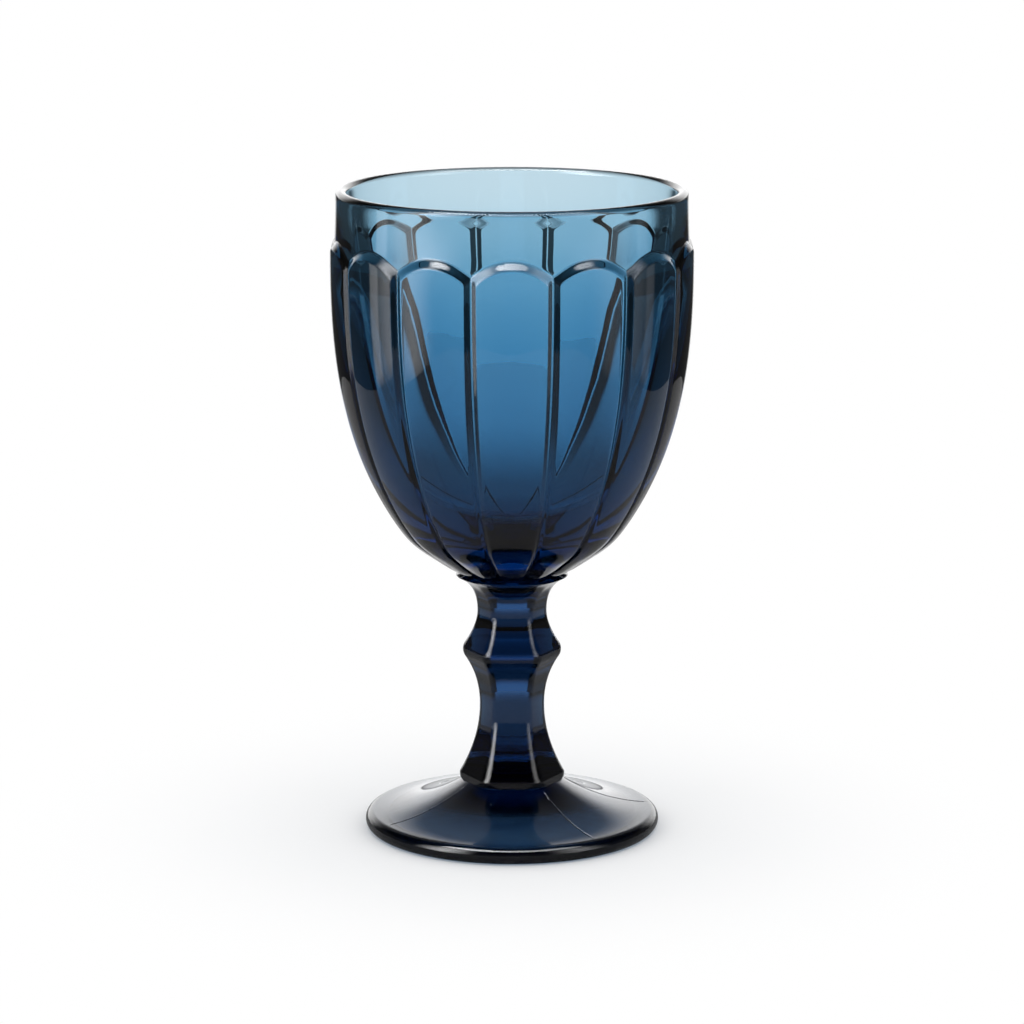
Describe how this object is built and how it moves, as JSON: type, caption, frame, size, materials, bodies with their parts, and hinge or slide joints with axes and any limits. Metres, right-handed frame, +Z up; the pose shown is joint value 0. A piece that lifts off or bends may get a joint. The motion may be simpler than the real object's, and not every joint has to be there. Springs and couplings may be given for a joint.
{
  "type": "water goblet",
  "caption": "Stemmed drinking goblet of thick blue pressed glass: panelled bowl with arched tops, faceted knopped stem, round trumpet foot.",
  "frame": {"origin": "centre of the foot's resting plane, on the goblet's axis", "axes": "+Z up along the axis to the mouth; one bowl panel and one stem facet face -Y, the side the picture was taken from"},
  "size_m": [0.091, 0.0918, 0.165],
  "materials": {
    "glass": "fire-polished, clear, coloured through"
  },
  "bodies": {
    "root": {"bowl": "glass", "stem": "glass", "foot": "glass"}
  },
  "joints": []
}
